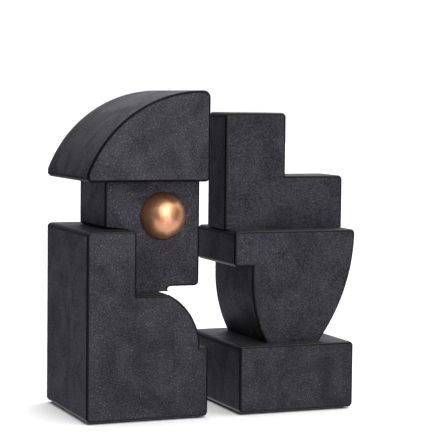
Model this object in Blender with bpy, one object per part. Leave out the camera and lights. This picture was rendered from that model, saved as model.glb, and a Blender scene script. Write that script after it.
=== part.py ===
"""A pair of sculptural book ends, cast as round-edged blocks that are stacked on hidden dowels.

Metres, +Z up. +X runs from the left book end to the right one, +Y runs from front to back.
The origin is on the resting plane, under the middle of the whole pair.
Distances along X in the outlines are measured from the left book end's book-side face, and
distances along Y from the front faces; FRAME_SHIFT moves both to the origin.
"""
import math

import bmesh
import bpy
from mathutils import Vector

# ---- driving dimensions, in metres ----
BOOK_GAP = 0.0200            # space between the two book-side faces at rest
FULL_WIDTH = 0.0740          # width of the torso, the hat and the right-hand base
FULL_DEPTH = 0.0800          # depth of the torso, the hat and the right-hand base
JOINT_GAP = 0.0003           # space between touching pieces
EDGE_RADIUS = 0.0014         # rounding around the front and back faces
CORNER_RADIUS = 0.0028       # rounding of the corners of a block's outline
SMALL_CORNER = 0.0020
FELT_THICKNESS = 0.0007
FELT_INSET = 0.0030          # felt edge to block edge
FOOT_Z = FELT_THICKNESS + JOINT_GAP

# left book end
HAT_TOP_Z = 0.1900
HAT_BOTTOM_Z = 0.1375
HAT_RADIUS = 0.0747          # curved top of the hat
HAT_FLAT_TOP = 0.0043        # flat strip of the hat's top beside the book
HAT_TOP_CORNER = 0.0042
COLUMN_TOP_Z = 0.1098
COLUMN_WIDTH = 0.0297
LEDGE_Z = 0.0729             # top of the torso in front of the neck
SHOULDER_START = 0.0240      # from the book side to where the ledge starts to fall
SHOULDER_RADIUS = 0.0350
SHOULDER_STEP = 0.0052       # foot of the quarter-round, from the book side
SHOULDER_STEP_Z = 0.0415
HEAD_RECESS = 0.0160         # head face behind the torso's front, the same at the back
HEAD_WIDTH = 0.0584
NECK_RIGHT = 0.0195          # neck's edge, from the book side
CHIN_Z = 0.0757
CHIN_FILLET = 0.0022
EYE_RADIUS = 0.0138
EYE_FROM_BOOK = 0.0230
EYE_Z = 0.1171
EYE_SINK = 0.0020            # ball's centre behind the face
STUD_RADIUS = 0.0020
STUD_LENGTH = 0.0170
STUD_IN_BALL = 0.0070

# right book end
BASE_TOP_Z = 0.0408
BOWL_RECESS = 0.0100
BOWL_TOP_Z = 0.1076
BOWL_TOP_WIDTH = 0.0790      # from the book side to the overhanging outer edge
BOWL_OUTER_RADIUS = 0.1090
NOTCH_TOP_Z = 0.0864
NOTCH_WIDTH = 0.0117
NOTCH_BEND_Z = 0.0780
BOWL_INNER_RADIUS = 0.0811
STEP_RECESS = 0.0260
STEP_WIDTH = 0.0777
STEP_TOP_Z = 0.1395
TOWER_WIDTH = 0.0394
TOWER_TOP_Z = 0.1773

# hidden dowels
DOWEL_RADIUS = 0.0040
DOWEL_LENGTH = 0.0300
# name, X from the left book end's book side, Y
HEAD_DOWELS = (
    ("left_head_dowel_front", -0.0340, 0.0280),
    ("left_head_dowel_back", -0.0340, 0.0520),
)
HAT_DOWELS = (
    ("left_hat_dowel_outer", -0.0430, 0.0460),
    ("left_hat_dowel_inner", -0.0130, 0.0460),
)
BOWL_DOWELS = (
    ("right_bowl_dowel_inner", BOOK_GAP + 0.0300, 0.0400),
    ("right_bowl_dowel_outer", BOOK_GAP + 0.0460, 0.0400),
)
STEP_DOWELS = (
    ("right_step_dowel_inner", BOOK_GAP + 0.0220, 0.0400),
    ("right_step_dowel_outer", BOOK_GAP + 0.0560, 0.0400),
)

# mesh fineness
ARC_STEPS = 20
CORNER_STEPS = 5
EDGE_SEGMENTS = 3
SHARP_ANGLE = math.radians(28)
RIM_ANGLE = math.radians(60)
DOWEL_SIDES = 24
BALL_SEGMENTS = 40
BALL_RINGS = 20

# the middle of the pair: the hat's outer edge to the bowl's outer edge
PAIR_LEFT = -FULL_WIDTH
PAIR_RIGHT = BOOK_GAP + BOWL_TOP_WIDTH
FRAME_SHIFT = Vector((-(PAIR_LEFT + PAIR_RIGHT) / 2, -FULL_DEPTH / 2, 0.0))


def clear_scene():
    for item in list(bpy.data.objects):
        bpy.data.objects.remove(item, do_unlink=True)


def make_material(name, colour, roughness, metallic):
    material = bpy.data.materials.new(name)
    material.use_nodes = True
    shader = material.node_tree.nodes["Principled BSDF"]
    shader.inputs["Base Color"].default_value = (*colour, 1.0)
    shader.inputs["Roughness"].default_value = roughness
    shader.inputs["Metallic"].default_value = metallic
    material.diffuse_color = (*colour, 1.0)
    return material


def arc(centre_x, centre_z, radius, start, end, steps=ARC_STEPS):
    """Points of a circular arc in the XZ plane; the angles are in radians from +X towards +Z."""
    points = []
    for i in range(steps + 1):
        angle = start + (end - start) * i / steps
        points.append((centre_x + radius * math.cos(angle), centre_z + radius * math.sin(angle)))
    return points


def new_object(name, mesh_data, material):
    mesh = bpy.data.meshes.new(name)
    mesh_data.to_mesh(mesh)
    mesh_data.free()
    mesh.materials.append(material)
    piece = bpy.data.objects.new(name, mesh)
    bpy.context.scene.collection.objects.link(piece)
    return piece


def shade(piece):
    piece.data.shade_smooth()
    piece.data.set_sharp_from_angle(angle=SHARP_ANGLE)


def rounded(corners):
    """Makes an outline from corners: (x, z) stays, and (x, z, radius) turns into an arc."""
    points = []
    for i, corner in enumerate(corners):
        if len(corner) == 2:
            points.append(corner)
            continue
        here = Vector(corner[:2])
        to_last = (Vector(corners[i - 1][:2]) - here).normalized()
        to_next = (Vector(corners[(i + 1) % len(corners)][:2]) - here).normalized()
        half = to_last.angle(to_next) / 2
        radius = corner[2]
        centre = here + (to_last + to_next).normalized() * radius / math.sin(half)
        start = here + to_last * radius / math.tan(half) - centre
        first = math.atan2(start.y, start.x)
        points += arc(centre.x, centre.y, radius, first, first + math.pi - 2 * half, CORNER_STEPS)
    return points


def extrude_outline(outline, front, back):
    """A prism: the XZ outline, listed counter-clockwise seen from the front, run from front to back."""
    solid = bmesh.new()
    front_ring = [solid.verts.new(Vector((x, front, z)) + FRAME_SHIFT) for x, z in outline]
    face = solid.faces.new(front_ring)
    swept = bmesh.ops.extrude_face_region(solid, geom=[face])
    moved = [item for item in swept["geom"] if isinstance(item, bmesh.types.BMVert)]
    bmesh.ops.translate(solid, verts=moved, vec=(0.0, back - front, 0.0))
    bmesh.ops.recalc_face_normals(solid, faces=solid.faces)
    return solid


def in_close_joint(edge, close_joints):
    """True for an edge that lies in one of the planes where blocks meet, such as ("z", height)."""
    for axis, place in close_joints:
        index = "xyz".index(axis)
        distances = [abs(vert.co[index] - FRAME_SHIFT[index] - place) for vert in edge.verts]
        if max(distances) < 2 * JOINT_GAP:
            return True
    return False


def round_rims(solid, close_joints):
    """Rounds the edges around the front and back faces; edges in a close joint stay square."""
    chosen = []
    for edge in solid.edges:
        rim = abs(edge.verts[0].co.y - edge.verts[1].co.y) < JOINT_GAP
        if rim and edge.calc_face_angle() > RIM_ANGLE and not in_close_joint(edge, close_joints):
            chosen.append(edge)
    bmesh.ops.bevel(
        solid,
        geom=chosen,
        offset=EDGE_RADIUS,
        offset_type="OFFSET",
        segments=EDGE_SEGMENTS,
        profile=0.5,
        affect="EDGES",
        clamp_overlap=False,
    )


def make_block(name, corners, recess, material, close_joints=()):
    solid = extrude_outline(rounded(corners), recess, FULL_DEPTH - recess)
    round_rims(solid, close_joints)
    return new_object(name, solid, material)


def cylinder_mesh(radius, length, sides, centre, axis):
    """A capped cylinder centred at a point, along Y or Z."""
    solid = bmesh.new()
    bmesh.ops.create_cone(
        solid,
        cap_ends=True,
        segments=sides,
        radius1=radius,
        radius2=radius,
        depth=length,
    )
    if axis == "Y":
        turn = Vector((0.0, 0.0, 1.0)).rotation_difference(Vector((0.0, 1.0, 0.0)))
        bmesh.ops.rotate(solid, verts=solid.verts, matrix=turn.to_matrix())
    bmesh.ops.translate(solid, verts=solid.verts, vec=Vector(centre) + FRAME_SHIFT)
    return solid


def ball_mesh(radius, centre):
    solid = bmesh.new()
    bmesh.ops.create_uvsphere(solid, u_segments=BALL_SEGMENTS, v_segments=BALL_RINGS, radius=radius)
    bmesh.ops.translate(solid, verts=solid.verts, vec=Vector(centre) + FRAME_SHIFT)
    return solid


def cut(piece, solid, label):
    """Takes a hidden cutter out of a piece."""
    mesh = bpy.data.meshes.new(label)
    solid.to_mesh(mesh)
    solid.free()
    cutter = bpy.data.objects.new(label, mesh)
    bpy.context.scene.collection.objects.link(cutter)
    cutter.hide_render = True
    cutter.display_type = "WIRE"
    boolean = piece.modifiers.new(label, "BOOLEAN")
    boolean.operation = "DIFFERENCE"
    boolean.solver = "EXACT"
    boolean.object = cutter


def make_dowels(places, joint_z, lower, upper, material):
    """The dowels across a joint, and the holes for them in the blocks below and above it."""
    hole_radius = DOWEL_RADIUS + JOINT_GAP
    hole_length = DOWEL_LENGTH + 2 * JOINT_GAP
    for name, x, y in places:
        centre = (x, y, joint_z)
        solid = cylinder_mesh(DOWEL_RADIUS, DOWEL_LENGTH, DOWEL_SIDES, centre, "Z")
        dowel = new_object(name, solid, material)
        shade(dowel)
        cut(lower, cylinder_mesh(hole_radius, hole_length, DOWEL_SIDES, centre, "Z"), name + "_lower_cut")
        cut(upper, cylinder_mesh(hole_radius, hole_length, DOWEL_SIDES, centre, "Z"), name + "_upper_cut")


# Block outlines: counter-clockwise corners, as rounded() takes them.
def torso_outline():
    """Base, quarter-round shoulder, ledge in front of the neck, and the column at the outer side."""
    centre_x = -SHOULDER_STEP - SHOULDER_RADIUS
    high_angle = math.acos((-SHOULDER_START - centre_x) / SHOULDER_RADIUS)
    column_right = -FULL_WIDTH + COLUMN_WIDTH
    corners = [(-FULL_WIDTH, FOOT_Z, CORNER_RADIUS), (0.0, FOOT_Z, CORNER_RADIUS)]
    corners += [(0.0, SHOULDER_STEP_Z, SMALL_CORNER)]
    corners += arc(centre_x, SHOULDER_STEP_Z, SHOULDER_RADIUS, 0.0, high_angle)
    corners += [(column_right, LEDGE_Z), (column_right, COLUMN_TOP_Z, SMALL_CORNER)]
    corners += [(-FULL_WIDTH, COLUMN_TOP_Z, CORNER_RADIUS)]
    return corners


def head_outline():
    """The head over the column, the neck down to the ledge, and the chin that stands clear of it."""
    neck_left = -FULL_WIDTH + COLUMN_WIDTH + JOINT_GAP
    bottom = LEDGE_Z + JOINT_GAP
    top = HAT_BOTTOM_Z - JOINT_GAP
    over_column = COLUMN_TOP_Z + JOINT_GAP
    fillet_x = -NECK_RIGHT + CHIN_FILLET
    corners = [(neck_left, bottom), (-NECK_RIGHT, bottom)]
    corners += arc(fillet_x, CHIN_Z - CHIN_FILLET, CHIN_FILLET, math.pi, math.pi / 2, CORNER_STEPS)
    corners += [(0.0, CHIN_Z, CORNER_RADIUS), (0.0, top), (-HEAD_WIDTH, top)]
    corners += [(-HEAD_WIDTH, over_column, SMALL_CORNER), (neck_left, over_column)]
    return corners


def hat_outline():
    """A quarter-round: flat underneath, upright beside the book, curved from the top to the outer edge."""
    centre_x = -HAT_FLAT_TOP
    centre_z = HAT_TOP_Z - HAT_RADIUS
    end_angle = math.pi - math.acos((FULL_WIDTH - HAT_FLAT_TOP) / HAT_RADIUS)
    corners = [(-FULL_WIDTH, HAT_BOTTOM_Z, CORNER_RADIUS), (0.0, HAT_BOTTOM_Z, CORNER_RADIUS)]
    corners += [(0.0, HAT_TOP_Z, HAT_TOP_CORNER)]
    corners += arc(centre_x, centre_z, HAT_RADIUS, math.pi / 2, end_angle, 2 * ARC_STEPS)
    return corners


def bowl_outline():
    """A quarter-round outer side that overhangs the base, and a notch on the book side."""
    left = BOOK_GAP
    foot = BASE_TOP_Z + JOINT_GAP
    outer_x = left + BOWL_TOP_WIDTH - BOWL_OUTER_RADIUS
    outer_low = -math.asin((BOWL_TOP_Z - foot) / BOWL_OUTER_RADIUS)
    inner_x = left + NOTCH_WIDTH + BOWL_INNER_RADIUS
    inner_low = math.pi + math.asin((NOTCH_BEND_Z - foot) / BOWL_INNER_RADIUS)
    # the top corner is a small circle inside the big one, touching it and the top
    small_in_big = BOWL_OUTER_RADIUS - CORNER_RADIUS
    outer_high = -math.asin(CORNER_RADIUS / small_in_big)
    rim_x = outer_x + small_in_big * math.cos(outer_high)
    rim_z = BOWL_TOP_Z - CORNER_RADIUS
    corners = arc(outer_x, BOWL_TOP_Z, BOWL_OUTER_RADIUS, outer_low, outer_high, 2 * ARC_STEPS)
    corners += arc(rim_x, rim_z, CORNER_RADIUS, outer_high, math.pi / 2, CORNER_STEPS)[1:]
    corners += [(left, BOWL_TOP_Z, CORNER_RADIUS), (left, NOTCH_TOP_Z, CORNER_RADIUS)]
    corners += [(left + NOTCH_WIDTH, NOTCH_TOP_Z)]
    corners += arc(inner_x, NOTCH_BEND_Z, BOWL_INNER_RADIUS, math.pi, inner_low)
    return corners


def step_outline():
    """The wide step over the bowl with the narrow tower on its book side, one casting."""
    left = BOOK_GAP
    bottom = BOWL_TOP_Z + JOINT_GAP
    right = left + STEP_WIDTH
    tower_right = left + TOWER_WIDTH
    corners = [(left, bottom), (right, bottom), (right, STEP_TOP_Z, CORNER_RADIUS)]
    corners += [(tower_right, STEP_TOP_Z), (tower_right, TOWER_TOP_Z, CORNER_RADIUS)]
    corners += [(left, TOWER_TOP_Z, CORNER_RADIUS)]
    return corners


def base_outline():
    left = BOOK_GAP
    right = BOOK_GAP + FULL_WIDTH
    places = ((left, FOOT_Z), (right, FOOT_Z), (right, BASE_TOP_Z), (left, BASE_TOP_Z))
    return [(x, z, CORNER_RADIUS) for x, z in places]


def felt_pad(name, left, material):
    low = left + FELT_INSET
    high = left + FULL_WIDTH - FELT_INSET
    outline = [(low, 0.0), (high, 0.0), (high, FELT_THICKNESS), (low, FELT_THICKNESS)]
    solid = extrude_outline(outline, FELT_INSET, FULL_DEPTH - FELT_INSET)
    return new_object(name, solid, material)


def make_eye(head, ball_material, stud_material):
    """The ball in its round socket, and the stud that holds it from inside the head."""
    centre_y = HEAD_RECESS + EYE_SINK
    centre = (-EYE_FROM_BOOK, centre_y, EYE_Z)
    ball = new_object("eye_ball", ball_mesh(EYE_RADIUS, centre), ball_material)
    cut(head, ball_mesh(EYE_RADIUS + JOINT_GAP, centre), "eye_socket_cut")
    stud_y = centre_y + EYE_RADIUS - STUD_IN_BALL + STUD_LENGTH / 2
    stud_centre = (-EYE_FROM_BOOK, stud_y, EYE_Z)
    stud = cylinder_mesh(STUD_RADIUS, STUD_LENGTH, DOWEL_SIDES, stud_centre, "Y")
    stud_object = new_object("eye_stud", stud, stud_material)
    for piece, label in ((ball, "ball_stud_cut"), (head, "head_stud_cut")):
        hole_length = STUD_LENGTH + 2 * JOINT_GAP
        cut(piece, cylinder_mesh(STUD_RADIUS + JOINT_GAP, hole_length, DOWEL_SIDES, stud_centre, "Y"), label)
    shade(ball)
    shade(stud_object)


def make_left_book_end(black, copper, steel, wood, felt):
    torso = make_block("left_torso_block", torso_outline(), 0.0, black)
    head_joints = (("z", LEDGE_Z), ("x", -FULL_WIDTH + COLUMN_WIDTH), ("z", HAT_BOTTOM_Z))
    head = make_block("left_head_block", head_outline(), HEAD_RECESS, black, head_joints)
    hat = make_block("left_hat_block", hat_outline(), 0.0, black)
    make_dowels(HEAD_DOWELS, LEDGE_Z, torso, head, wood)
    make_dowels(HAT_DOWELS, HAT_BOTTOM_Z, head, hat, wood)
    make_eye(head, copper, steel)
    felt_pad("left_felt_pad", -FULL_WIDTH, felt)
    for piece in (torso, head, hat):
        shade(piece)


def make_right_book_end(black, wood, felt):
    base = make_block("right_base_block", base_outline(), 0.0, black)
    bowl = make_block("right_bowl_block", bowl_outline(), BOWL_RECESS, black, (("z", BASE_TOP_Z),))
    step = make_block("right_step_block", step_outline(), STEP_RECESS, black, (("z", BOWL_TOP_Z),))
    make_dowels(BOWL_DOWELS, BASE_TOP_Z, base, bowl, wood)
    make_dowels(STEP_DOWELS, BOWL_TOP_Z, bowl, step, wood)
    felt_pad("right_felt_pad", BOOK_GAP, felt)
    for piece in (base, bowl, step):
        shade(piece)


def main():
    clear_scene()
    black = make_material("cast_black", (0.035, 0.033, 0.038), 0.62, 0.0)
    copper = make_material("satin_copper", (0.60, 0.36, 0.22), 0.32, 1.0)
    steel = make_material("stud_steel", (0.55, 0.55, 0.56), 0.35, 1.0)
    wood = make_material("dowel_wood", (0.62, 0.47, 0.30), 0.75, 0.0)
    felt = make_material("black_felt", (0.03, 0.03, 0.03), 0.95, 0.0)
    make_left_book_end(black, copper, steel, wood, felt)
    make_right_book_end(black, wood, felt)


main()
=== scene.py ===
"""The looks of the pair of sculptural book ends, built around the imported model.

Metres, +Z up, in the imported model's frame: +X runs from the left book end to the right one,
+Y from the front faces to the back faces.
"""
import math

import bmesh
import bpy
from mathutils import Matrix, Vector


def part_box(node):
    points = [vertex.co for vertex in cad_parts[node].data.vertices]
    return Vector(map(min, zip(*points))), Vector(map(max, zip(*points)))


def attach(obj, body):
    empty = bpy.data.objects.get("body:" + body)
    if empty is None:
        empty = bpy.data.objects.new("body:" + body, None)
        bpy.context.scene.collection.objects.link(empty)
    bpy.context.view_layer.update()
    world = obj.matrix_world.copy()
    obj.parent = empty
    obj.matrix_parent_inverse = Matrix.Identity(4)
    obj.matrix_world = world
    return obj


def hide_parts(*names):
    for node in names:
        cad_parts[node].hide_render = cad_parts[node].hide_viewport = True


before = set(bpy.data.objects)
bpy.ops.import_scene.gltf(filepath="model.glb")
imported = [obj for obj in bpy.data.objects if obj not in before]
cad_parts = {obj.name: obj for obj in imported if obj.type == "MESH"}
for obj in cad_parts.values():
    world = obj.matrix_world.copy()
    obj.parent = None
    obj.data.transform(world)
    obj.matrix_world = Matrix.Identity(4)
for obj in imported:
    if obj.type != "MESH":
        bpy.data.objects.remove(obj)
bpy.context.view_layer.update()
LEFT_BODY = "left_bookend"
RIGHT_BODY = "right_bookend"

# ---- places and sizes, worked out from the frame ----
TORSO_LOW, TORSO_HIGH = (Vector(corner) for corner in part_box("left_torso_block"))
HEAD_LOW, HEAD_HIGH = (Vector(corner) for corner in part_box("left_head_block"))
HAT_LOW, HAT_HIGH = (Vector(corner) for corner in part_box("left_hat_block"))
BALL_LOW, BALL_HIGH = (Vector(corner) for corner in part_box("eye_ball"))
BASE_LOW, BASE_HIGH = (Vector(corner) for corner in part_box("right_base_block"))
BOWL_LOW, BOWL_HIGH = (Vector(corner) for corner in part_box("right_bowl_block"))
STEP_LOW, STEP_HIGH = (Vector(corner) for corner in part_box("right_step_block"))

JOINT_CLOSE = 0.00025        # how far a block reaches into the CAD's gap, for a tight joint
EDGE_RADIUS = 0.0014         # rounding around the front and back faces
EDGE_SEGMENTS = 8
CORNER_RADIUS = 0.0028       # rounding of the corners of a block's outline
CORNER_STEPS = 10
HAT_TOP_CORNER = 0.0042
SMALL_CORNER = 0.0020
ARC_STEPS = 72

COLUMN_WIDTH = 0.0297
SHOULDER_START = 0.0240      # from the book side to where the ledge starts to fall
SHOULDER_RADIUS = 0.0350
SHOULDER_STEP = 0.0052
SHOULDER_STEP_Z = 0.0415
NECK_RIGHT = 0.0195
CHIN_Z = 0.0757
CHIN_FILLET = 0.0022
HAT_RADIUS = 0.0747
HAT_FLAT_TOP = 0.0043
BOWL_OUTER_RADIUS = 0.1090
NOTCH_TOP_Z = 0.0864
NOTCH_WIDTH = 0.0117
NOTCH_BEND_Z = 0.0780
BOWL_INNER_RADIUS = 0.0811
STEP_TOP_Z = 0.1395
TOWER_WIDTH = 0.0394

BALL_RADIUS = (BALL_HIGH.x - BALL_LOW.x) / 2
BALL_CENTRE = Vector((
    (BALL_LOW.x + BALL_HIGH.x) / 2,
    BALL_LOW.y + BALL_RADIUS,
    (BALL_LOW.z + BALL_HIGH.z) / 2,
))
SOCKET_GAP = 0.0003          # the CAD's gap between touching pieces
RIM_SHADE_SLOT = 1                # material slot of the rounded rims, whose darker colour is painted shade


# ---- mesh helpers ----
def arc(centre_x, centre_z, radius, start, end, steps=ARC_STEPS):
    """Points of a circular arc in the XZ plane; the angles are in radians from +X towards +Z."""
    points = []
    for i in range(steps + 1):
        angle = start + (end - start) * i / steps
        points.append((centre_x + radius * math.cos(angle), centre_z + radius * math.sin(angle)))
    return points


def link(name, solid, *materials):
    mesh = bpy.data.meshes.new(name)
    solid.to_mesh(mesh)
    solid.free()
    for material in materials:
        mesh.materials.append(material)
    piece = bpy.data.objects.new(name, mesh)
    bpy.context.scene.collection.objects.link(piece)
    return piece


def rounded(corners):
    """Makes an outline from corners: (x, z) stays, (x, z, radius) turns into an arc.

    Gives the points, and the set of the rim ones, whose side faces take the painted rim shade, where the
    next point is on the same small arc.
    """
    points = []
    rim_shade = set()
    for i, corner in enumerate(corners):
        if len(corner) == 2:
            points.append(corner)
            continue
        here = Vector(corner[:2])
        to_last = (Vector(corners[i - 1][:2]) - here).normalized()
        to_next = (Vector(corners[(i + 1) % len(corners)][:2]) - here).normalized()
        half = to_last.angle(to_next) / 2
        radius = corner[2]
        centre = here + (to_last + to_next).normalized() * radius / math.sin(half)
        start = here + to_last * radius / math.tan(half) - centre
        turn = math.pi - 2 * half
        first = math.atan2(start.y, start.x)
        rim_shade.update(range(len(points), len(points) + CORNER_STEPS))
        points += arc(centre.x, centre.y, radius, first, first + turn, CORNER_STEPS)
    return points, rim_shade


def prism(outline, rim_shade, front, back):
    """An XZ outline, listed counter-clockwise seen from the front, run from front to back."""
    solid = bmesh.new()
    front_ring = [solid.verts.new((x, front, z)) for x, z in outline]
    back_ring = [solid.verts.new((x, back, z)) for x, z in outline]
    solid.faces.new(front_ring)
    solid.faces.new(reversed(back_ring))
    for i in range(len(outline)):
        j = (i + 1) % len(outline)
        side = solid.faces.new((front_ring[j], front_ring[i], back_ring[i], back_ring[j]))
        # Faces round the outline's small corners take the rim material: painted shade.
        side.material_index = RIM_SHADE_SLOT if i in rim_shade else 0
    solid.normal_update()
    return solid


def in_joint(edge, joints):
    """True for an edge that lies in a plane where two blocks meet, such as ("z", height)."""
    for axis, place in joints:
        index = "xyz".index(axis)
        if max(abs(vert.co[index] - place) for vert in edge.verts) < 2 * JOINT_CLOSE:
            return True
    return False


def round_edges(solid, joints):
    """Rounds the front and back rims; the rounded skin gets the darker rim material, which is painted
    shade.
    """
    sharp = math.radians(60)
    chosen = []
    for edge in solid.edges:
        rim = edge.verts[0].co.y == edge.verts[1].co.y
        if rim and edge.calc_face_angle() > sharp and not in_joint(edge, joints):
            chosen.append(edge)
    result = bmesh.ops.bevel(
        solid,
        geom=chosen,
        offset=EDGE_RADIUS,
        offset_type="OFFSET",
        segments=EDGE_SEGMENTS,
        profile=0.5,
        affect="EDGES",
        clamp_overlap=False,
    )
    # The bevel's rounded faces take the rim material: painted shade along the edges.
    for face in result["faces"]:
        face.material_index = RIM_SHADE_SLOT


def finish_shading(piece):
    """Smooth rounding with flat faces that stay flat."""
    piece.data.shade_smooth()
    piece.data.set_sharp_from_angle(angle=math.radians(40))
    weighted = piece.modifiers.new("flat_faces", "WEIGHTED_NORMAL")
    weighted.mode = "FACE_AREA"
    weighted.weight = 100
    weighted.keep_sharp = True


def block(name, corners, low, high, materials, joints=()):
    """A block with rounded edges; materials are the flat faces' one and the rims' one, whose darker colour
    is painted shade.
    """
    outline, rim_shade = rounded(corners)
    solid = prism(outline, rim_shade, low.y, high.y)
    round_edges(solid, joints)
    piece = link(name, solid, *materials)
    finish_shading(piece)
    return piece


def settle(piece, body, slot, *nodes):
    """Puts a piece on its body in place of its CAD nodes, which it hides; slot is not used."""
    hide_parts(*nodes)
    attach(piece, body)


# ---- outlines: counter-clockwise corners, as rounded() takes them ----
def torso_outline():
    """Base, quarter-round shoulder, ledge in front of the neck, and the column at the outer side."""
    left, right = TORSO_LOW.x, TORSO_HIGH.x
    bottom, top = TORSO_LOW.z, TORSO_HIGH.z
    ledge = HEAD_LOW.z - SOCKET_GAP
    column_right = left + COLUMN_WIDTH
    centre_x = right - SHOULDER_STEP - SHOULDER_RADIUS
    high_angle = math.acos((right - SHOULDER_START - centre_x) / SHOULDER_RADIUS)
    corners = [(left, bottom, CORNER_RADIUS), (right, bottom, CORNER_RADIUS)]
    corners += [(right, SHOULDER_STEP_Z, SMALL_CORNER)]
    corners += arc(centre_x, SHOULDER_STEP_Z, SHOULDER_RADIUS, 0.0, high_angle)
    corners += [(column_right, ledge), (column_right, top, SMALL_CORNER), (left, top, CORNER_RADIUS)]
    return corners


def head_outline():
    """The head over the column, the neck down to the ledge, and the chin that stands clear of it."""
    left, right = HEAD_LOW.x, HEAD_HIGH.x
    neck_left = TORSO_LOW.x + COLUMN_WIDTH + SOCKET_GAP - JOINT_CLOSE
    bottom = HEAD_LOW.z - JOINT_CLOSE
    top = HEAD_HIGH.z + JOINT_CLOSE
    over_column = TORSO_HIGH.z + SOCKET_GAP - JOINT_CLOSE
    fillet_x = right - NECK_RIGHT + CHIN_FILLET
    corners = [(neck_left, bottom), (right - NECK_RIGHT, bottom)]
    corners += arc(fillet_x, CHIN_Z - CHIN_FILLET, CHIN_FILLET, math.pi, math.pi / 2, 6)
    corners += [(right, CHIN_Z, CORNER_RADIUS), (right, top), (left, top)]
    corners += [(left, over_column, SMALL_CORNER), (neck_left, over_column)]
    return corners


def hat_outline():
    """A quarter-round: flat underneath, upright beside the book, curved to the outer edge."""
    left, right = HAT_LOW.x, HAT_HIGH.x
    centre_x = right - HAT_FLAT_TOP
    centre_z = HAT_HIGH.z - HAT_RADIUS
    end_angle = math.pi - math.acos((centre_x - left) / HAT_RADIUS)
    corners = [(left, HAT_LOW.z, CORNER_RADIUS), (right, HAT_LOW.z, CORNER_RADIUS)]
    corners += [(right, HAT_HIGH.z, HAT_TOP_CORNER)]
    corners += arc(centre_x, centre_z, HAT_RADIUS, math.pi / 2, end_angle, 2 * ARC_STEPS)
    return corners


def bowl_outline():
    """A quarter-round outer side that overhangs the base, and a notch on the book side."""
    left, top = BOWL_LOW.x, BOWL_HIGH.z
    foot = BOWL_LOW.z - JOINT_CLOSE
    outer_x = BOWL_HIGH.x - BOWL_OUTER_RADIUS
    outer_low = -math.asin((top - foot) / BOWL_OUTER_RADIUS)
    outer_high = -math.asin(CORNER_RADIUS / (BOWL_OUTER_RADIUS - CORNER_RADIUS))
    rim_x = outer_x + (BOWL_OUTER_RADIUS - CORNER_RADIUS) * math.cos(outer_high)
    inner_x = left + NOTCH_WIDTH + BOWL_INNER_RADIUS
    inner_low = math.pi + math.asin((NOTCH_BEND_Z - foot) / BOWL_INNER_RADIUS)
    corners = arc(outer_x, top, BOWL_OUTER_RADIUS, outer_low, outer_high)
    corners += arc(rim_x, top - CORNER_RADIUS, CORNER_RADIUS, outer_high, math.pi / 2, CORNER_STEPS)[1:]
    corners += [(left, top, CORNER_RADIUS), (left, NOTCH_TOP_Z, CORNER_RADIUS)]
    corners += [(left + NOTCH_WIDTH, NOTCH_TOP_Z)]
    corners += arc(inner_x, NOTCH_BEND_Z, BOWL_INNER_RADIUS, math.pi, inner_low, ARC_STEPS // 2)
    return corners


def step_outline():
    """The wide step over the bowl with the narrow tower on its book side."""
    left, right = STEP_LOW.x, STEP_HIGH.x
    bottom, top = STEP_LOW.z - JOINT_CLOSE, STEP_HIGH.z
    corners = [(left, bottom), (right, bottom), (right, STEP_TOP_Z, CORNER_RADIUS)]
    corners += [(left + TOWER_WIDTH, STEP_TOP_Z), (left + TOWER_WIDTH, top, CORNER_RADIUS)]
    corners += [(left, top, CORNER_RADIUS)]
    return corners


def base_outline():
    left, right = BASE_LOW.x, BASE_HIGH.x
    bottom, top = BASE_LOW.z, BASE_HIGH.z
    return [(x, z, CORNER_RADIUS) for x, z in ((left, bottom), (right, bottom), (right, top), (left, top))]


# ---- material helpers ----
class Nodes:
    """A short way to build one material's node tree."""

    def __init__(self, name):
        self.material = bpy.data.materials.new(name)
        self.material.use_nodes = True
        self.tree = self.material.node_tree
        self.shader = self.tree.nodes["Principled BSDF"]
        self.place = self.tree.nodes.new("ShaderNodeTexCoord").outputs["Object"]

    def wire(self, source, target):
        """Links an output to an input, or sets the input where source is a plain value."""
        if isinstance(source, bpy.types.NodeSocket):
            self.tree.links.new(source, target)
        else:
            target.default_value = source

    def noise(self, size, detail=2.0, roughness=0.5, vector=None, distortion=0.0):
        """Noise whose blotches are about size metres across, from about 0 to 1."""
        node = self.tree.nodes.new("ShaderNodeTexNoise")
        self.wire(vector or self.place, node.inputs["Vector"])
        node.inputs["Scale"].default_value = 1.0 / size
        node.inputs["Detail"].default_value = detail
        node.inputs["Roughness"].default_value = roughness
        node.inputs["Distortion"].default_value = distortion
        return node.outputs["Fac"]

    def scaled(self, scale):
        """The place, stretched by a factor on each axis."""
        node = self.tree.nodes.new("ShaderNodeMapping")
        self.wire(self.place, node.inputs["Vector"])
        node.inputs["Scale"].default_value = scale
        return node.outputs["Vector"]

    def remap(self, value, low, high, to_low=0.0, to_high=1.0):
        node = self.tree.nodes.new("ShaderNodeMapRange")
        node.interpolation_type = "SMOOTHSTEP"
        for source, key in (
            (value, "Value"),
            (low, "From Min"),
            (high, "From Max"),
            (to_low, "To Min"),
            (to_high, "To Max"),
        ):
            self.wire(source, node.inputs[key])
        return node.outputs["Result"]

    def math(self, operation, first, second):
        node = self.tree.nodes.new("ShaderNodeMath")
        node.operation = operation
        self.wire(first, node.inputs[0])
        self.wire(second, node.inputs[1])
        return node.outputs["Value"]

    def mix(self, factor, first, second):
        """Mixes two colours; a colour is an output or an (r, g, b) tuple."""
        node = self.tree.nodes.new("ShaderNodeMix")
        node.data_type = "RGBA"
        self.wire(factor, node.inputs[0])
        for source, target in ((first, node.inputs[6]), (second, node.inputs[7])):
            self.wire((*source, 1.0) if isinstance(source, tuple) else source, target)
        return node.outputs[2]

    def bump(self, height, distance, strength):
        node = self.tree.nodes.new("ShaderNodeBump")
        node.inputs["Strength"].default_value = strength
        node.inputs["Distance"].default_value = distance
        self.wire(height, node.inputs["Height"])
        return node.outputs["Normal"]


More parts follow.
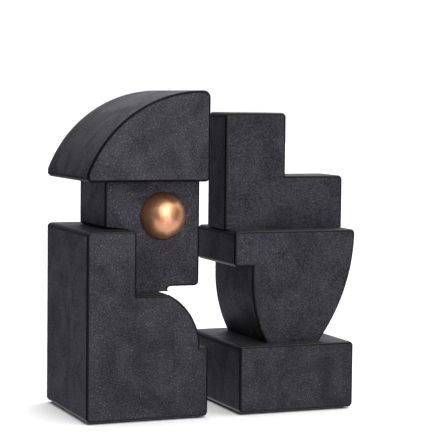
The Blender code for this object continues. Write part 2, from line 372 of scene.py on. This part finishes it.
# ---- materials ----
def cast_black():
    """Charcoal cast stone: a dark binder full of fine sand, with pale specks and faint clouds of dust."""
    nodes = Nodes("cast_black_fine")
    grain = nodes.noise(0.00085, detail=3.0, roughness=0.70)
    specks = nodes.noise(0.00070, detail=1.0, roughness=0.5)
    cloud = nodes.noise(0.0190, detail=4.0, roughness=0.62, distortion=0.6)

    sandy = nodes.mix(nodes.remap(grain, 0.34, 0.66), (0.0034, 0.0032, 0.0042), (0.0190, 0.0183, 0.0218))
    speck_share = nodes.math(
        "MULTIPLY",
        nodes.remap(specks, 0.60, 0.74),
        nodes.remap(cloud, 0.34, 0.62, 0.15, 1.0),
    )
    speckled = nodes.mix(speck_share, sandy, (0.135, 0.132, 0.142))
    dusted = nodes.mix(nodes.remap(cloud, 0.36, 0.68, 0.0, 0.26), speckled, (0.034, 0.0328, 0.038))
    nodes.wire(dusted, nodes.shader.inputs["Base Color"])

    rough = nodes.remap(grain, 0.3, 0.7, 0.53, 0.43)
    cloudy = nodes.math("ADD", rough, nodes.remap(cloud, 0.3, 0.7, 0.05, -0.05))
    nodes.wire(cloudy, nodes.shader.inputs["Roughness"])
    glint = nodes.math(
        "ADD",
        nodes.remap(grain, 0.34, 0.66, 0.24, 0.40),
        nodes.remap(cloud, 0.34, 0.68, -0.05, 0.06),
    )
    nodes.wire(glint, nodes.shader.inputs["Specular IOR Level"])
    nodes.wire(nodes.bump(grain, 0.00028, 0.9), nodes.shader.inputs["Normal"])
    nodes.shader.inputs["Specular Tint"].default_value = (0.90, 0.90, 1.0, 1.0)
    return nodes.material


def rim_shade_black(name, gloss):
    """The same stone made darker and smoother, with hardly any sand, for the rounded rims: its darker
    colour is painted shade for the dark lines along the edges.
    """
    nodes = Nodes(name)
    grain = nodes.noise(0.00100, detail=2.0, roughness=0.6)
    # Painted shade: far darker than the flat faces' stone.
    nodes.wire(
        nodes.mix(nodes.remap(grain, 0.4, 0.8), (0.0016, 0.0015, 0.0021), (0.0080, 0.0076, 0.0096)),
        nodes.shader.inputs["Base Color"],
    )
    nodes.wire(nodes.remap(grain, 0.3, 0.7, 0.46, 0.36), nodes.shader.inputs["Roughness"])
    nodes.wire(nodes.bump(grain, 0.00010, 0.5), nodes.shader.inputs["Normal"])
    nodes.shader.inputs["Specular IOR Level"].default_value = gloss
    return nodes.material


def satin_copper():
    """Rose-copper plate with fine brushed scratches, darker in the hollows of the brushing."""
    nodes = Nodes("satin_copper_fine")
    brushed = nodes.noise(0.00110, detail=4.0, roughness=0.6, vector=nodes.scaled((1.0, 1.0, 0.25)))
    cloud = nodes.noise(0.0065, detail=3.0, roughness=0.5, distortion=0.6)
    tone = nodes.mix(nodes.remap(cloud, 0.3, 0.7), (0.74, 0.36, 0.17), (0.86, 0.50, 0.28))
    tone = nodes.mix(nodes.remap(brushed, 0.45, 0.72, 0.0, 0.35), tone, (0.95, 0.78, 0.58))
    nodes.wire(tone, nodes.shader.inputs["Base Color"])
    nodes.wire(nodes.remap(brushed, 0.3, 0.7, 0.36, 0.46), nodes.shader.inputs["Roughness"])
    nodes.wire(nodes.bump(brushed, 0.00012, 0.5), nodes.shader.inputs["Normal"])
    nodes.shader.inputs["Metallic"].default_value = 0.93
    nodes.shader.inputs["Coat Weight"].default_value = 0.8
    nodes.shader.inputs["Coat Tint"].default_value = (1.0, 0.84, 0.66, 1.0)
    nodes.shader.inputs["Coat Roughness"].default_value = 0.34
    nodes.shader.inputs["Coat IOR"].default_value = 1.6
    return nodes.material


def pressed_felt():
    """Black pressed felt: matted fibres, with a few lighter ones."""
    nodes = Nodes("black_felt_fine")
    matted = nodes.scaled((1.0, 0.4, 1.0))
    fibres = nodes.noise(0.00050, detail=5.0, roughness=0.7, vector=matted, distortion=1.5)
    nodes.wire(
        nodes.mix(nodes.remap(fibres, 0.35, 0.75), (0.006, 0.006, 0.007), (0.040, 0.040, 0.044)),
        nodes.shader.inputs["Base Color"],
    )
    nodes.wire(nodes.remap(fibres, 0.3, 0.7, 0.98, 0.85), nodes.shader.inputs["Roughness"])
    nodes.wire(nodes.bump(fibres, 0.0003, 0.9), nodes.shader.inputs["Normal"])
    nodes.shader.inputs["Sheen Weight"].default_value = 0.25
    return nodes.material


def dowel_wood():
    """Pale beech with fine grain along the dowel."""
    nodes = Nodes("dowel_wood_fine")
    grain = nodes.noise(0.0012, detail=4.0, roughness=0.6, vector=nodes.scaled((1.0, 1.0, 0.08)))
    nodes.wire(
        nodes.mix(nodes.remap(grain, 0.35, 0.7), (0.42, 0.27, 0.14), (0.66, 0.48, 0.29)),
        nodes.shader.inputs["Base Color"],
    )
    nodes.wire(nodes.remap(grain, 0.3, 0.7, 0.72, 0.58), nodes.shader.inputs["Roughness"])
    nodes.wire(nodes.bump(grain, 0.0001, 0.5), nodes.shader.inputs["Normal"])
    return nodes.material


def stud_steel():
    """Turned steel with fine rings along the stud."""
    nodes = Nodes("stud_steel_fine")
    turned = nodes.noise(0.0004, detail=3.0, roughness=0.6, vector=nodes.scaled((0.1, 1.0, 0.1)))
    nodes.wire(
        nodes.mix(nodes.remap(turned, 0.3, 0.7), (0.42, 0.42, 0.43), (0.60, 0.60, 0.61)),
        nodes.shader.inputs["Base Color"],
    )
    nodes.wire(nodes.remap(turned, 0.3, 0.7, 0.30, 0.42), nodes.shader.inputs["Roughness"])
    nodes.wire(nodes.bump(turned, 0.00005, 0.5), nodes.shader.inputs["Normal"])
    nodes.shader.inputs["Metallic"].default_value = 1.0
    return nodes.material


def studio_floor():
    """Pale matt paper sweep with a very faint tooth."""
    nodes = Nodes("studio_floor")
    tooth = nodes.noise(0.0015, detail=2.0)
    nodes.wire(
        nodes.mix(tooth, (0.86, 0.86, 0.86), (0.90, 0.90, 0.90)),
        nodes.shader.inputs["Base Color"],
    )
    nodes.shader.inputs["Roughness"].default_value = 0.9
    nodes.shader.inputs["Specular IOR Level"].default_value = 0.1
    return nodes.material


# ---- pieces ----
def socketed(head):
    """Cuts the round socket for the ball out of the head's front face."""
    solid = bmesh.new()
    bmesh.ops.create_uvsphere(solid, u_segments=96, v_segments=48, radius=BALL_RADIUS + SOCKET_GAP)
    bmesh.ops.translate(solid, verts=solid.verts, vec=BALL_CENTRE)
    cutter = link("socket_cutter", solid, head.data.materials[0])
    boolean = head.modifiers.new("socket", "BOOLEAN")
    boolean.operation = "DIFFERENCE"
    boolean.solver = "EXACT"
    boolean.object = cutter
    head.modifiers.move(len(head.modifiers) - 1, 0)
    depsgraph = bpy.context.evaluated_depsgraph_get()
    mesh = bpy.data.meshes.new_from_object(head.evaluated_get(depsgraph))
    head.modifiers.clear()
    head.data = mesh
    bpy.data.objects.remove(cutter, do_unlink=True)
    finish_shading(head)


def ball_piece(material):
    """The ball, as a subdivided cube pushed out to a sphere, so that it has no poles."""
    solid = bmesh.new()
    bmesh.ops.create_cube(solid, size=2.0)
    bmesh.ops.subdivide_edges(solid, edges=solid.edges, cuts=31, use_grid_fill=True)
    for vert in solid.verts:
        vert.co = vert.co.normalized() * BALL_RADIUS + BALL_CENTRE
    ball = link("copper_ball", solid, material)
    ball.data.shade_smooth()
    return ball


def felt_piece(name, node, material):
    """A pressed pad with soft rounded edges."""
    low, high = (Vector(corner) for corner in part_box(node))
    corner = 0.0030
    steps = 8
    rim = []
    for centre_x, centre_y, start in (
        (high.x - corner, high.y - corner, 0.0),
        (low.x + corner, high.y - corner, math.pi / 2),
        (low.x + corner, low.y + corner, math.pi),
        (high.x - corner, low.y + corner, 1.5 * math.pi),
    ):
        for i in range(steps + 1):
            angle = start + math.pi / 2 * i / steps
            rim.append((centre_x + corner * math.cos(angle), centre_y + corner * math.sin(angle)))
    solid = bmesh.new()
    face = solid.faces.new([solid.verts.new((x, y, low.z)) for x, y in rim])
    swept = bmesh.ops.extrude_face_region(solid, geom=[face])
    moved = [item for item in swept["geom"] if isinstance(item, bmesh.types.BMVert)]
    bmesh.ops.translate(solid, verts=moved, vec=(0.0, 0.0, high.z - low.z))
    bmesh.ops.recalc_face_normals(solid, faces=solid.faces)
    rims = [edge for edge in solid.edges if edge.calc_face_angle() > math.radians(60)]
    bmesh.ops.bevel(solid, geom=rims, offset=0.0003, segments=3, profile=0.5, affect="EDGES")
    pad = link(name, solid, material)
    finish_shading(pad)
    return pad


def build_pieces():
    stone = cast_black()
    # The rims of every block get the darker material: painted shade.
    black = (stone, rim_shade_black("cast_black_rim_shade", 0.20))
    # The hat's rims get a duller copy with less gloss: painted shade standing in for the shade of a book
    # beside the hat.
    hat_shade_black = (stone, rim_shade_black("cast_black_rim_shade_hat", 0.06))
    copper = satin_copper()
    felt = pressed_felt()
    wood = dowel_wood()
    steel = stud_steel()

    settle(
        block("torso", torso_outline(), TORSO_LOW, TORSO_HIGH, black),
        LEFT_BODY, "cast_black", "left_torso_block",
    )
    neck_left = TORSO_LOW.x + COLUMN_WIDTH
    head_joints = (("z", HEAD_LOW.z), ("x", neck_left), ("z", HEAD_HIGH.z))
    head = block("head", head_outline(), HEAD_LOW, HEAD_HIGH, black, head_joints)
    socketed(head)
    settle(head, LEFT_BODY, "cast_black", "left_head_block")
    settle(
        block("hat", hat_outline(), HAT_LOW, HAT_HIGH, hat_shade_black),
        LEFT_BODY, "cast_black", "left_hat_block",
    )
    settle(ball_piece(copper), LEFT_BODY, "satin_copper", "eye_ball")
    settle(felt_piece("felt_left", "left_felt_pad", felt), LEFT_BODY, "black_felt", "left_felt_pad")

    settle(
        block("base", base_outline(), BASE_LOW, BASE_HIGH, black),
        RIGHT_BODY, "cast_black", "right_base_block",
    )
    settle(
        block("bowl", bowl_outline(), BOWL_LOW, BOWL_HIGH, black, (("z", BOWL_LOW.z),)),
        RIGHT_BODY, "cast_black", "right_bowl_block",
    )
    settle(
        block("steps", step_outline(), STEP_LOW, STEP_HIGH, black, (("z", STEP_LOW.z),)),
        RIGHT_BODY, "cast_black", "right_step_block",
    )
    settle(felt_piece("felt_right", "right_felt_pad", felt), RIGHT_BODY, "black_felt", "right_felt_pad")

    for name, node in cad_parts.items():
        if "dowel" in name:
            node.material_slots[0].material = wood
        elif name == "eye_stud":
            node.material_slots[0].material = steel


# ---- stage, camera and light ----
OBJECT_HEIGHT = HAT_HIGH.z
# the camera stands in front and to the left, a little below the top of the hat
CAMERA_PLACE = Vector((-1.954, -4.889, 0.969)) * OBJECT_HEIGHT
CAMERA_YAW = 0.3893          # turned from +Y towards +X
CAMERA_PITCH = -0.07115
CAMERA_ROLL = 0.01162
LENS_MM = 136.6
SENSOR_MM = 36.0
# brightnesses of the parts of the room; azimuths are in degrees from the front, towards +X
SKY_LIGHT = 1.4              # even light from above
FLAG_AZIMUTH = -50.0         # a dark flag in it, above the left front
FLAG_ELEVATION = 62.0
CEILING_LIGHT = 2.2          # a patch of the ceiling towards the right and the back
CEILING_AZIMUTH = 120.0
CEILING_ELEVATION = 72.0
WALL_LIGHT = 0.42            # the wall the camera looks at
PANEL_LIGHT = 1.5            # broad soft panel in front
PANEL_AZIMUTH = 6.0
PANEL_ELEVATION = -4.0
SIDE_LIGHT = 0.10            # dim wall at the left, behind
SIDE_AZIMUTH = -150.0
EDGE_LIGHT = 1.2             # bright wall at the far right, which softens the right-hand rims
EDGE_AZIMUTH = 115.0
GROUND_LIGHT = 1.00          # what the blocks and the ball reflect of the floor
ROOM_LIGHT = 0.04            # everywhere else
ROOM_TINT = (0.95, 0.92, 1.10)


def camera_axes():
    """Right, up and forward directions of the camera."""
    forward = Vector((
        math.sin(CAMERA_YAW) * math.cos(CAMERA_PITCH),
        math.cos(CAMERA_YAW) * math.cos(CAMERA_PITCH),
        math.sin(CAMERA_PITCH),
    ))
    right = Vector((math.cos(CAMERA_YAW), -math.sin(CAMERA_YAW), 0.0))
    up = right.cross(forward)
    turned_right = right * math.cos(CAMERA_ROLL) + up * math.sin(CAMERA_ROLL)
    turned_up = up * math.cos(CAMERA_ROLL) - right * math.sin(CAMERA_ROLL)
    return turned_right, turned_up, forward


def make_camera():
    data = bpy.data.cameras.new("camera")
    data.lens = LENS_MM
    data.sensor_width = SENSOR_MM
    data.clip_start = 0.01
    data.clip_end = 100.0
    camera = bpy.data.objects.new("camera", data)
    bpy.context.scene.collection.objects.link(camera)
    right, up, forward = camera_axes()
    turn = Matrix((right, up, -forward)).transposed()
    camera.matrix_world = Matrix.Translation(CAMERA_PLACE) @ turn.to_4x4()
    bpy.context.scene.camera = camera


def make_floor():
    half = 6.0
    solid = bmesh.new()
    corners = ((-half, -half), (half, -half), (half, half), (-half, half))
    solid.faces.new([solid.verts.new((x, y, 0.0)) for x, y in corners])
    floor = link("floor", solid, studio_floor())
    floor.visible_glossy = False


def direction(azimuth, elevation):
    """A unit vector; azimuth is in degrees from the front, towards +X, and elevation upwards."""
    turn, rise = math.radians(azimuth), math.radians(elevation)
    return Vector((math.sin(turn) * math.cos(rise), -math.cos(turn) * math.cos(rise), math.sin(rise)))


def softbox(name, azimuth, elevation, distance, width, height, power, aim):
    """A soft rectangular light at a distance from the point it looks at."""
    data = bpy.data.lights.new(name, "AREA")
    data.shape = "RECTANGLE"
    data.size = width
    data.size_y = height
    data.energy = power
    light = bpy.data.objects.new(name, data)
    bpy.context.scene.collection.objects.link(light)
    away = direction(azimuth, elevation)
    light.location = Vector(aim) + away * distance
    light.rotation_euler = away.to_track_quat("Z", "Y").to_euler()
    light.visible_camera = False
    return light


def make_world():
    """White to the camera; as light, a room whose parts have the brightnesses named above."""
    world = bpy.data.worlds.new("studio")
    bpy.context.scene.world = world
    world.use_nodes = True
    tree = world.node_tree
    tree.nodes.clear()

    def ramp(value, low, high, peak, rest=0.0):
        node = tree.nodes.new("ShaderNodeMapRange")
        node.interpolation_type = "SMOOTHSTEP"
        tree.links.new(value, node.inputs["Value"])
        node.inputs["From Min"].default_value = low
        node.inputs["From Max"].default_value = high
        node.inputs["To Min"].default_value = rest
        node.inputs["To Max"].default_value = peak
        return node.outputs["Result"]

    def towards(direction):
        node = tree.nodes.new("ShaderNodeVectorMath")
        node.operation = "DOT_PRODUCT"
        node.inputs[1].default_value = direction
        tree.links.new(place.outputs["Generated"], node.inputs[0])
        return node.outputs["Value"]

    def combine(first, second, operation="ADD"):
        node = tree.nodes.new("ShaderNodeMath")
        node.operation = operation
        tree.links.new(first, node.inputs[0])
        if isinstance(second, float):
            node.inputs[1].default_value = second
        else:
            tree.links.new(second, node.inputs[1])
        return node.outputs["Value"]

    def background(strength, tint=(1.0, 1.0, 1.0)):
        node = tree.nodes.new("ShaderNodeBackground")
        node.inputs["Color"].default_value = (*tint, 1.0)
        if isinstance(strength, float):
            node.inputs["Strength"].default_value = strength
        else:
            tree.links.new(strength, node.inputs["Strength"])
        return node.outputs["Background"]

    place = tree.nodes.new("ShaderNodeTexCoord")
    sky = ramp(towards((0.0, 0.0, 1.0)), 0.35, 0.80, SKY_LIGHT)
    flag = ramp(towards(direction(FLAG_AZIMUTH, FLAG_ELEVATION)), 0.82, 0.96, 0.08, 1.0)
    sky = combine(sky, flag, "MULTIPLY")
    ceiling = ramp(towards(direction(CEILING_AZIMUTH, CEILING_ELEVATION)), 0.60, 0.95, CEILING_LIGHT)
    wall = ramp(towards((math.sin(CAMERA_YAW), math.cos(CAMERA_YAW), 0.0)), 0.78, 0.98, WALL_LIGHT)
    panel = ramp(towards(direction(PANEL_AZIMUTH, PANEL_ELEVATION)), 0.86, 0.985, PANEL_LIGHT)
    side = ramp(towards(direction(SIDE_AZIMUTH, 0.0)), 0.80, 0.98, SIDE_LIGHT)
    edge = ramp(towards(direction(EDGE_AZIMUTH, 0.0)), 0.75, 0.97, EDGE_LIGHT)
    ground = ramp(towards((0.0, 0.0, -1.0)), 0.15, 0.50, GROUND_LIGHT)
    room = wall
    for more in (panel, side, edge, ground, ROOM_LIGHT):
        room = combine(room, more)
    lit = tree.nodes.new("ShaderNodeAddShader")
    tree.links.new(background(combine(sky, ceiling)), lit.inputs[0])
    tree.links.new(background(room, ROOM_TINT), lit.inputs[1])
    path = tree.nodes.new("ShaderNodeLightPath")
    mix = tree.nodes.new("ShaderNodeMixShader")
    output = tree.nodes.new("ShaderNodeOutputWorld")
    tree.links.new(path.outputs["Is Camera Ray"], mix.inputs[0])
    tree.links.new(lit.outputs[0], mix.inputs[1])
    tree.links.new(background(1.0), mix.inputs[2])
    tree.links.new(mix.outputs[0], output.inputs["Surface"])


def make_lights():
    """A far soft key, and a nearer one beside it that lights the left book end more."""
    softbox("key", 6, 30, 1.1, 0.35, 0.45, 0.5, (0.0, 0.0, 0.10))
    softbox("near", -2, 26, 0.5, 0.26, 0.34, 1.3, (-0.05, 0.0, 0.10))


build_pieces()
make_camera()
make_floor()
make_world()
make_lights()
bpy.context.scene.view_settings.view_transform = "Standard"
